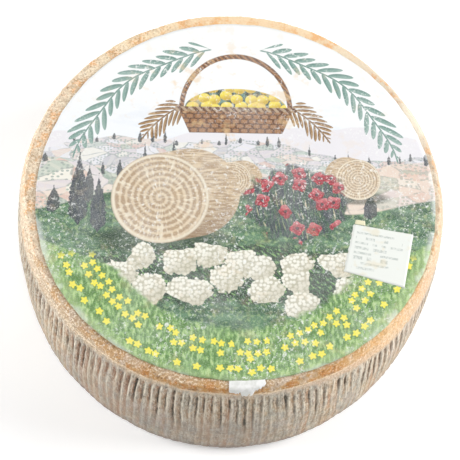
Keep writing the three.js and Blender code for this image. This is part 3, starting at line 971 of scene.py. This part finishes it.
def meadowOn(colour, u, v):
    p = printInk
    line = waveLine(u, -0.02, ((0.05, 3.6, 2.6), (0.02, 8.0, 0.3)))
    mown = noise(vector(u + v * 0.6, v * 3), 0.12, 3)
    meadow = mixed(smooth(mown, 0.4, 0.62), p["meadowShade"], p["meadow"])
    meadow = mixed(smooth(noise(vector(u, v), 0.02, 2), 0.5, 0.66) * 0.4, meadow, p["grassLight"])
    colour = mixed(smooth(line - v, 0, 0.012), colour, meadow)
    colour = cypressesOn(colour, u, v, line - 0.04, 5, 0.32, 0.028, 3)
    colour = treeOn(colour, u, v, (-0.79, -0.17), 0.44, 0.05)
    return treeOn(colour, u, v, (-0.69, -0.21), 0.34, 0.042)


def smallBalesOn(colour, u, v):
    colour = baleOn(colour, u, v, (0.62, 0.10), 0.115, (-0.5, 0.12))
    return baleOn(colour, u, v, (-0.02, 0.09), 0.10, (0.55, 0.1))


def largeBaleOn(colour, u, v):
    return baleOn(colour, u, v, (-0.38, -0.02), 0.25, (0.62, 0.14))


def oliveOn(colour, u, v):
    # two olive sprigs along the upper rim
    fromTop = abs(arctan(u, v))
    along = fromTop * 0.845
    ends = smooth(fromTop, 0.13, 0.28) * smooth(fromTop, 1.36, 1.2)
    across = lengthOf(u, v) - 0.842 - sine(along * 13) * 0.008
    inks = (printInk["leaf"], printInk["leafLight"])
    return sprigOn(colour, along, across, 0.064, 0.072, 0.025, ends, inks, 31)


def wheatOn(colour, u, v):
    # a spray of wheat on each side of the basket
    low = v - 0.02
    turn = abs(arctan(u, low))
    ends = smooth(turn, 0.5, 0.58) * smooth(turn, 1.06, 0.9)
    across = lengthOf(u, low) - 0.56
    inks = (printInk["wheatDark"], printInk["wheat"])
    return sprigOn(colour, turn * 0.56, across, 0.036, 0.07, 0.0165, ends, inks, 37)


motifs = (
    skyOn, farHillsOn, nearHillsOn, meadowOn, smallBalesOn, largeBaleOn, poppiesOn, blossomsOn,
    grassOn, oliveOn, wheatOn, basketOn,
)


def landscape(u, v):
    colour = printInk["paper"]
    for motif in motifs:
        colour = motif(colour, u, v)
        # Cycles can hold only so many values at once, so each motif waits for the one before
        done = parts(colour)[0] * 1e-9
        u = u + done
        v = v + done
    return colour


def labelMaterial():
    material, tree, shader = newMaterial("printedLabel", {"Specular IOR Level": 0.22})
    place = objectPlace(tree)
    x, y, _ = parts(place)
    u = (x - labelMiddle[0]) / label["radius"]
    v = (y - labelMiddle[1]) / label["radius"]
    flat = vector(u, v)
    colour = landscape(u, v)
    # the edge is worn pale
    far = lengthOf(u, v)
    pale = smooth(far, 0.97, 1.0) * smooth(noise(flat, 0.09, 3, 0.6, shift=21), 0.44, 0.6)
    colour = mixed(pale * 0.4, colour, printInk["paper"])
    # print grain, a faded haze, scuffs down to the paper and some oil from the cheese
    grain = noise(flat, 0.006, 1)
    colour = mixed(smooth(grain, 0.45, 0.7) * 0.16, colour, printInk["paper"])
    haze = smooth(noise(flat, 0.2, 4, 0.65, shift=2), 0.4, 0.66)
    colour = mixed(0.02 + haze * 0.1, colour, printInk["paper"])
    worn = smooth(noise(flat, 0.32, 2, shift=5), 0.38, 0.6)
    scuff = smooth(noise(flat, 0.011, 2, 0.6, shift=9), 0.61, 0.66)
    rubbed = smooth(noise(vector(u * 0.35 + v, u - v * 0.35), 0.026, 4, 0.75), 0.57, 0.63)
    colour = mixed(greater(scuff * 0.7, rubbed) * worn * 0.8, colour, printInk["paper"])
    oil = smooth(noise(flat, 0.085, 3, 0.6, shift=15), 0.56, 0.68)
    oily = smooth(root((u + 0.05) * (u + 0.05) * 0.5 + (v - 0.55) * (v - 0.55)), 0.42, 0.15)
    colour = mixed(oil * (0.12 + 0.4 * oily), colour, printInk["stain"])
    plug(shader.inputs["Base Color"], colour)
    plug(shader.inputs["Roughness"], 0.5 + 0.2 * noise(flat, 0.05, 2, shift=19))
    creases = abs(noise(place, 26, 2, 0.45, shift=25) - 0.5)
    relief = smooth(creases, 0.0, 0.03) * 0.4 + noise(place, 5, 2, shift=27) * 0.5
    plug(shader.inputs["Normal"], bump(relief, 0.25, 0.5))
    return material


def labelSheet():
    angles = np.linspace(0, 2 * np.pi, label["columns"], endpoint=False)
    frayed = sum(size * np.sin(times * angles + shift) for size, times, shift in label["frays"])
    shares = np.linspace(0, 1, label["rings"] + 1)[1:]
    top, under = [], []
    for share in shares:
        reach = share * labelEdge(angles) + frayed * share ** 12
        x = labelMiddle[0] + reach * np.cos(angles)
        y = labelMiddle[1] + reach * np.sin(angles)
        z = topHeight + paperWave(x, y)
        under.append(np.stack([x, y, z], 1) * mm)
        top.append(np.stack([x, y, z + label["thickness"]], 1) * mm)
    x, y = (np.array([value]) for value in labelMiddle)
    middle = topHeight + paperWave(x, y)[0]
    low = (labelMiddle[0] * mm, labelMiddle[1] * mm, middle * mm)
    high = (labelMiddle[0] * mm, labelMiddle[1] * mm, (middle + label["thickness"]) * mm)
    return ringMesh("paperLabel", under + top[::-1], low, high)


addPiece(labelSheet(), "label", labelMaterial())

# The small weighing sticker, with rows of plain grey bars.
sticker = {
    "corner": (70.3, -16.9), "turn": -10, "thickness": 0.12, "gap": 0.015, "cells": 26,
    "corners": ((0, 0), (34.4, 0), (33.8, -33.6), (-1.2, -30)),
    "tab": ((0.6, 3.0), (6.0, 3.2), (6.6, 0.4), (0.4, 0.3)),
    "rowStep": 3.1, "barStep": 2.6, "bare": 0.25,
    "paper": (246, 249, 243), "bar": (170, 180, 174), "tabInk": (246, 240, 205), "stain": (240, 226, 190),
    "paperStrength": 0.88, "strength": 0.87,
}


def stickerPlace(across, down):
    turn = math.radians(sticker["turn"])
    x = sticker["corner"][0] + wheel["axis"][0] + across * math.cos(turn) - down * math.sin(turn)
    y = sticker["corner"][1] + wheel["axis"][1] + across * math.sin(turn) + down * math.cos(turn)
    return x, y


def quadSheet(name, corners, count, lift, teeth=0.0):
    s, t = np.meshgrid(np.linspace(0, 1, count + 1), np.linspace(0, 1, count + 1))
    (ax, ay), (bx, by), (cx, cy), (dx, dy) = corners
    across = (1 - s) * (1 - t) * ax + s * (1 - t) * bx + s * t * cx + (1 - s) * t * dx
    down = (1 - s) * (1 - t) * ay + s * (1 - t) * by + s * t * cy + (1 - s) * t * dy
    across = across - teeth * (1 - s) ** 8 * np.clip(np.sin(t * 40) + 0.4 * np.sin(t * 97), 0, 1)
    x, y = stickerPlace(across, down)
    z = topHeight + paperWave(x, y) + label["thickness"] + sticker["gap"] + lift * (s * t) ** 4
    z = z + sticker["thickness"]
    return sheetMesh(name, np.stack([x, y, z], 2)[::-1] * mm, sticker["thickness"])


def stickerMaterial():
    material, tree, shader = newMaterial("stickerPaper", {"Roughness": 0.55})
    place = objectPlace(tree)
    x, y, _ = parts(place)
    turn = math.radians(sticker["turn"])
    dx = x - sticker["corner"][0] - wheel["axis"][0]
    dy = y - sticker["corner"][1] - wheel["axis"][1]
    across = dx * math.cos(turn) + dy * math.sin(turn)
    down = dx * math.sin(turn) - dy * math.cos(turn)
    row = whole(down / sticker["rowStep"])
    local = down / sticker["rowStep"] - row
    step = across / sticker["barStep"] + drawn(row, 3) * 5
    shown = drawn(whole(step) + row * 31, 4) > sticker["bare"]
    size = 0.16 + drawn(row, 5) * 0.16
    bar = smooth(abs(local - 0.5), size + 0.06, size) * shown
    rowEnd = 15 + drawn(row, 6) * 15
    bar = bar * smooth(across, 2.0, 2.6) * smooth(across, rowEnd + 1, rowEnd)
    bar = bar * smooth(down, 2.5, 3) * smooth(down, 28, 27.5)
    faded = smooth(noise(place, 1.1, 2, shift=4), 0.4, 0.6)
    stained = smooth(noise(place, 9, 2, shift=8), 0.56, 0.7)
    bars, stain, tab = (ink(*sticker[name], sticker["strength"]) for name in ("bar", "stain", "tabInk"))
    colour = mixed(bar * (0.16 + 0.4 * faded), ink(*sticker["paper"], sticker["paperStrength"]), bars)
    colour = mixed(stained * 0.4, colour, stain)
    colour = mixed(smooth(down, 0.1, -0.1), colour, tab)
    plug(shader.inputs["Base Color"], colour)
    plug(shader.inputs["Normal"], bump(noise(place, 6, 2, shift=12), 0.2, 0.5))
    return material


def joined(name, pieces):
    with bpy.context.temp_override(active_object=pieces[0], selected_editable_objects=pieces):
        bpy.ops.object.join()
    pieces[0].name = name
    return pieces[0]


stickerPiece = joined("weighingSticker", [
    quadSheet("stickerSheet", sticker["corners"], sticker["cells"], 0.0, 0.5),
    quadSheet("stickerTab", sticker["tab"], 5, 0.0),
])
addPiece(stickerPiece, "sticker", stickerMaterial())

# The torn scrap of paper that comes out from under the label and bends over the shoulder.
scrap = {
    "thickness": 0.22, "lift": 0.315, "gap": 0.02, "rise": 0.16, "tuck": 3.0,
    "rows": 22, "columns": 44, "crumple": 0.12, "jags": ((0.35, 21, 0), (0.25, 47, 1)),
    # its way starts this far in from the label's edge, is level up to levelTo and ends at lowest
    "wayIn": 6, "levelTo": 5.5, "lowest": 60, "waySteps": (20, 300),
    "paper": (236, 237, 232), "torn": (253, 253, 251), "strength": 0.87,
    # degrees from the front, and millimetres out from the label's edge
    "edge": ((-0.6, 7.2), (1.2, 7.9), (2, 8.4), (2.3, 6.2), (2.7, 9.9), (4.2, 10.4), (5.6, 10.2),
             (6.3, 6.4), (8.3, 4.2), (9.5, 2.2)),
}


def scrapSheet():
    corner = wheel["corner"]
    bend = np.linspace(0, np.pi / 2, scrap["waySteps"][0])
    wallHeights = np.linspace(topHeight - corner, scrap["lowest"], scrap["waySteps"][1])
    turns, reaches = np.array(scrap["edge"]).T
    grid = []
    for column in range(scrap["columns"] + 1):
        turn = turns[0] + (turns[-1] - turns[0]) * column / scrap["columns"]
        jag = sum(size * math.sin(turn * times + shift) for size, times, shift in scrap["jags"])
        length = np.interp(turn, turns, reaches) + jag
        angle = math.radians(turn - 90)
        # the label's edge as seen from the wheel's axis, then the way out and down the shoulder
        edgeX, edgeY = label["centre"][0], label["centre"][1]
        edge = labelEdge(angle) + edgeX * math.cos(angle) + edgeY * math.sin(angle)
        overBrink = wheelBrink(angle) + corner * np.sin(bend)
        wayR = np.concatenate([[edge - scrap["wayIn"]], overBrink, wheelRadius(angle, wallHeights)])
        wayR = wayR + scrap["lift"]
        wayZ = np.concatenate([[topHeight], topHeight - corner * (1 - np.cos(bend)), wallHeights])
        steps = np.concatenate([[0], np.cumsum(np.hypot(np.diff(wayR), np.diff(wayZ)))])
        line = []
        for row in range(scrap["rows"] + 1):
            s = scrap["wayIn"] - scrap["tuck"] + (length + scrap["tuck"]) * row / scrap["rows"]
            r = np.interp(s, steps, wayR)
            z = np.interp(s, steps, wayZ)
            fold = scrap["crumple"] * math.sin(turn * 5 + s) * math.sin(s * 1.3 + turn * 2)
            over = min(max((s - scrap["levelTo"]) / 2, 0), 1)
            r = r + fold * over
            z = z + scrap["gap"] + scrap["thickness"] + (fold * 0.5 + scrap["rise"]) * over
            line.append((r * math.cos(angle) + wheel["axis"][0], r * math.sin(angle) + wheel["axis"][1], z))
        grid.append(line)
    top = np.array(grid).transpose(1, 0, 2)[::-1]
    return sheetMesh("paperScrap", top * mm, scrap["thickness"])


def scrapMaterial():
    material, tree, shader = newMaterial("tornPaper", {"Roughness": 0.8})
    place = objectPlace(tree)
    fibres = noise(place, 0.8, 3, 0.6)
    patches = smooth(noise(place, 4, 2), 0.4, 0.6)
    paper, torn = (ink(*scrap[name], scrap["strength"]) for name in ("paper", "torn"))
    colour = mixed(patches, paper, torn)
    plug(shader.inputs["Base Color"], colour)
    plug(shader.inputs["Normal"], bump(fibres, 0.3, 0.6))
    return material


addPiece(scrapSheet(), "paper_scrap", scrapMaterial())

# Crumbs of crust that cling to the shoulder and the wall.
crumbSizes = {
    "Per square metre": 90000.0, "Smallest": 0.2, "Largest": 1.0, "Crumb radius": 0.5 * mm, "Seed": 4,
}
crumbReach = 124.3  # a crumb further out could stand past the solid's box


def crumbTree(material):
    tree, ports, keys = geometryTree("crustCrumbs", crumbSizes)
    place = vectorOn("SCALE", Wire.node(tree, "GeometryNodeInputPosition"), scale=1 / mm)
    x, y, z = parts(place)
    free = smooth(fromLabelMiddle(x, y), label["radius"] + 1, label["radius"] + 2.5)
    amount = free * smooth(z, 4, 10) * smooth(z, 50, 76, 0.12, 1)
    amount = amount * smooth(z, topHeight - 0.1, topHeight - 0.8)
    amount = amount * (greater(abs(x), abs(y)) < crumbReach)
    amount = amount * smooth(noise(place, 12, 2), 0.4, 0.6, 0.2, 1)
    settings = {"distribute_method": "RANDOM"}
    values = {"Mesh": ports["Geometry"], "Density": amount * ports["Per square metre"], "Seed": ports["Seed"]}
    spots = Wire.node(tree, "GeometryNodeDistributePointsOnFaces", settings, values, out=None)
    values = {"Radius": ports["Crumb radius"], "Subdivisions": 1}
    crumb = Wire.node(tree, "GeometryNodeMeshIcoSphere", None, values)
    values = {"Min": (0.6, 0.6, 0.35), "Max": (1.1, 1.1, 0.7), "Seed": 5}
    uneven = Wire.node(tree, "FunctionNodeRandomValue", {"data_type": "FLOAT_VECTOR"}, values)
    values = {2: ports["Smallest"], 3: ports["Largest"], "Seed": 6}
    size = Wire.node(tree, "FunctionNodeRandomValue", {"data_type": "FLOAT"}, values, out=1)
    values = {"Points": Wire(spots.outputs["Points"]), "Instance": crumb,
              "Rotation": Wire(spots.outputs["Rotation"]), "Scale": vectorOn("SCALE", uneven, scale=size)}
    geometry = Wire.node(tree, "GeometryNodeInstanceOnPoints", None, values)
    closeTree(tree, geometry, material)
    return tree, keys


crumbTreeMade, crumbKeys = crumbTree(rind)
crumbPiece = grown(wheelPiece, "crustCrumbs", crumbTreeMade, crumbKeys, crumbSizes)
addPiece(crumbPiece, "wheel")

# The camera stands where the photograph was taken from.
cameraView = {
    "elevation": 65.58, "azimuth": -5.0, "roll": 5.454, "distance": 1024.6,
    "target": (-1.25, -21.01, 81.25), "focal": 1800, "image": 460, "sensor": 36,
}


def makeCamera():
    view = cameraView
    up, turn = math.radians(view["elevation"]), math.radians(view["azimuth"])
    back = Vector((math.sin(turn) * math.cos(up), -math.cos(turn) * math.cos(up), math.sin(up)))
    right = (-back).cross(Vector((0, 0, 1))).normalized()
    above = right.cross(-back)
    roll = math.radians(view["roll"])
    imageRight = math.cos(roll) * right + math.sin(roll) * above
    imageUp = -math.sin(roll) * right + math.cos(roll) * above
    data = bpy.data.cameras.new("camera")
    data.sensor_width = view["sensor"]
    data.lens = view["focal"] * view["sensor"] / view["image"]
    data.clip_end = 20
    made = bpy.data.objects.new("camera", data)
    spot = Vector(view["target"]) * mm + back * view["distance"] * mm
    facing = Matrix((imageRight, imageUp, back)).transposed().to_4x4()
    made.matrix_world = Matrix.Translation(spot) @ facing
    bpy.context.scene.collection.objects.link(made)
    bpy.context.scene.camera = made


# A bright light tent: a large lamp on each side, the right one stronger, over a glowing floor.
studio = {
    "world": 0.12, "floor": 0.93, "floorGlow": 0.22,
    # name: place in metres, size in metres, watts
    "lamps": {
        "right": ((1.3, 0.1, 0.7), 0.9, 26),
        "left": ((-1.3, 0.1, 0.7), 0.9, 21),
        "front": ((0.1, -1.4, 0.6), 1.0, 4.2),
        "back": ((0.0, 1.5, 0.7), 1.0, 4.5),
    },
}


def makeStudio():
    scene = bpy.context.scene
    world = bpy.data.worlds.new("studio")
    world.use_nodes = True
    world.node_tree.nodes["Background"].inputs["Color"].default_value = (1, 1, 1, 1)
    world.node_tree.nodes["Background"].inputs["Strength"].default_value = studio["world"]
    scene.world = world
    for name, (place, size, watts) in studio["lamps"].items():
        data = bpy.data.lights.new(name, "AREA")
        data.shape = "DISK"
        data.size = size
        data.energy = watts
        lamp = bpy.data.objects.new(name, data)
        aim = Vector((0, 0, 0.05)) - Vector(place)
        lamp.matrix_world = Matrix.Translation(place) @ aim.to_track_quat("-Z", "Y").to_matrix().to_4x4()
        scene.collection.objects.link(lamp)
    scene.view_settings.view_transform = "Standard"


def makeFloor():
    half = 6
    corners = [(-half, -half, 0), (half, -half, 0), (half, half, 0), (-half, half, 0)]
    floor = meshObject("floor", corners, [(0, 1, 2, 3)])
    pale = (studio["floor"],) * 3
    settings = {"Base Color": pale, "Roughness": 0.9, "Emission Color": (1.0, 1.0, 1.0)}
    settings["Emission Strength"] = studio["floorGlow"]
    floor.data.materials.append(newMaterial("paleFloor", settings)[0])


makeCamera()
makeStudio()
makeFloor()
print("studio made")
